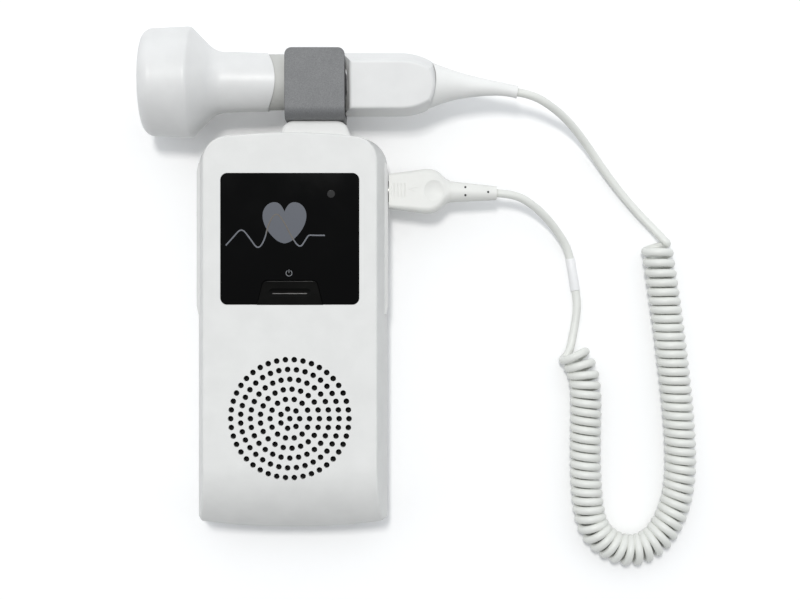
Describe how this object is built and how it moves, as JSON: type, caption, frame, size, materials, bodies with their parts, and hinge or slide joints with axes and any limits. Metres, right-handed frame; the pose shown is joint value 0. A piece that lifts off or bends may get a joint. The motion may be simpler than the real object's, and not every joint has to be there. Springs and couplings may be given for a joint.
{
  "type": "fetal doppler monitor",
  "caption": "Hand-held fetal doppler with a speaker grille, a glossy front panel with a power key, a clip that carries its ultrasound probe, and a curly cord between them.",
  "frame": {"origin": "middle of the main unit's flat back face", "axes": "+X to the unit's right seen from the front, +Y towards the clip end, +Z out of the front face"},
  "size_m": [0.2218, 0.2158, 0.0438],
  "materials": {
    "shell": "satin white",
    "trim": "satin pale grey",
    "panel_black": "polished black",
    "key_black": "soft gloss black",
    "silicone": "matte grey silicone",
    "socket_black": "matte black",
    "lens_smoke": "smoked clear",
    "lamp": "clear",
    "board_green": "solder mask",
    "chip_black": "moulded",
    "screw_steel": "plated",
    "cloth_black": "woven",
    "basket_steel": "pressed",
    "magnet_dark": "ferrite",
    "cone_paper": "pressed paper",
    "contact_metal": "plated",
    "pin_gold": "plated",
    "cell_jacket": "printed sleeve",
    "clip_metal": "satin",
    "probe_white": "satin gloss white",
    "grip_grey": "matte",
    "boot_white": "matte",
    "ceramic": "fired",
    "backing": "cast",
    "plug_white": "matte",
    "cord_jacket": "satin",
    "sleeve_white": "satin"
  },
  "bodies": {
    "main": {"front_cover": "shell", "rear_cover": "shell", "case_screws": "screw_steel", "side_trim_left": "trim", "side_trim_right": "trim", "display_panel": "panel_black", "power_switch": "socket_black", "key_dome": "silicone", "indicator_lens": "lens_smoke", "indicator_led": "lamp", "main_board": "board_green", "board_parts": "chip_black", "board_screws": "screw_steel", "grille_cloth": "cloth_black", "speaker_frame": "basket_steel", "speaker_magnet": "magnet_dark", "speaker_cone": "cone_paper", "speaker_retainer": "socket_black", "retainer_screws": "screw_steel", "volume_control": "socket_black", "headphone_jack": "socket_black", "probe_socket": "socket_black", "socket_pins": "pin_gold", "battery_cell_1": "cell_jacket", "battery_cell_2": "cell_jacket", "battery_plates": "contact_metal", "battery_springs": "contact_metal", "probe_clip": "clip_metal", "cord_curl": "cord_jacket", "cord_tail_lead": "cord_jacket", "cord_sleeve": "sleeve_white"},
    "key": {"power_key": "key_black"},
    "wheel": {"volume_wheel": "trim"},
    "door": {"battery_door": "shell"},
    "probe": {"probe_face": "probe_white", "probe_head": "probe_white", "grip_band": "grip_grey", "probe_handle": "probe_white", "probe_boot": "boot_white", "seal_ring": "silicone", "probe_crystals": "ceramic", "crystal_backing": "backing", "probe_board": "board_green", "probe_board_parts": "chip_black", "cable_clamp": "socket_black", "cord_probe_lead": "cord_jacket"},
    "plug": {"plug_body": "plug_white", "plug_shell": "contact_metal", "plug_insert": "socket_black", "cord_plug_lead": "cord_jacket"}
  },
  "joints": [
    {"name": "key_press", "type": "slide", "parent": "main", "child": "key", "axis": [0, 0, -1], "range_m": [0, 0.0008], "stiffness_N_per_m": 1000, "deforming": ["key_dome"]},
    {"name": "volume_turn", "type": "hinge", "parent": "main", "child": "wheel", "pos_m": [-0.03155, 0.0466, 0.015], "axis": [0, 0, 1], "range_deg": [-135, 135]},
    {"name": "door_slide", "type": "slide", "parent": "main", "child": "door", "axis": [0, -1, 0], "range_m": [0, 0.052]},
    {"name": "probe_pull", "type": "slide", "parent": "main", "child": "probe", "axis": [0, 1, 0], "range_m": [0, 0.03]},
    {"name": "plug_pull", "type": "slide", "parent": "main", "child": "plug", "axis": [1, 0, 0], "range_m": [0, 0.013]}
  ]
}
